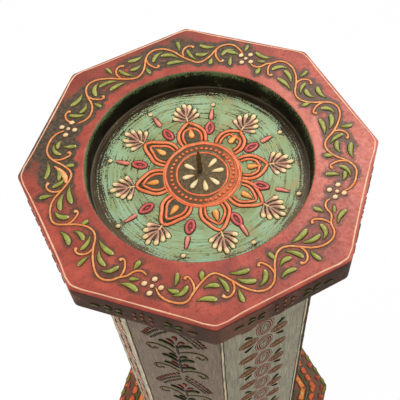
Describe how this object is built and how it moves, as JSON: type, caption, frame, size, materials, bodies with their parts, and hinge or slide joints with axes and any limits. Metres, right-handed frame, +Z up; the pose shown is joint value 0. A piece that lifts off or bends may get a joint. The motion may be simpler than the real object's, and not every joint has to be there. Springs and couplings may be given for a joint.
{
  "type": "pricket candle holder",
  "caption": "Tall eight-sided painted wooden candle holder: a dished top plate with a centre spike, on a hollow column and a wider base with felt pads.",
  "frame": {"origin": "centre of the footprint, on the surface that the felt pads stand on", "axes": "+Z up the column and along the spike; flats of the dish plate face +X, -X, +Y and -Y"},
  "size_m": [0.137, 0.137, 0.3112],
  "materials": {
    "plate_paint": "brick red paint with raised slip ornament, worn satin",
    "column_paint": "grey-green and taupe wash with raised slip ornament, satin",
    "base_paint": "dark red-brown paint with raised slip ornament, satin",
    "bare_wood": "planed, unfinished",
    "spike_iron": "dark, lightly rusted",
    "screw_steel": "zinc plated",
    "felt": "pressed felt"
  },
  "bodies": {
    "root": {"top_plate": "plate_paint", "spike": "spike_iron", "top_block": "bare_wood", "top_screws": "screw_steel", "bottom_block": "bare_wood", "base_plate": "base_paint", "base_screws": "screw_steel", "stave_1": "column_paint", "stave_2": "column_paint", "stave_3": "column_paint", "stave_4": "column_paint", "stave_5": "column_paint", "stave_6": "column_paint", "stave_7": "column_paint", "stave_8": "column_paint", "foot_pad_1": "felt", "foot_pad_2": "felt", "foot_pad_3": "felt", "foot_pad_4": "felt"}
  },
  "joints": []
}
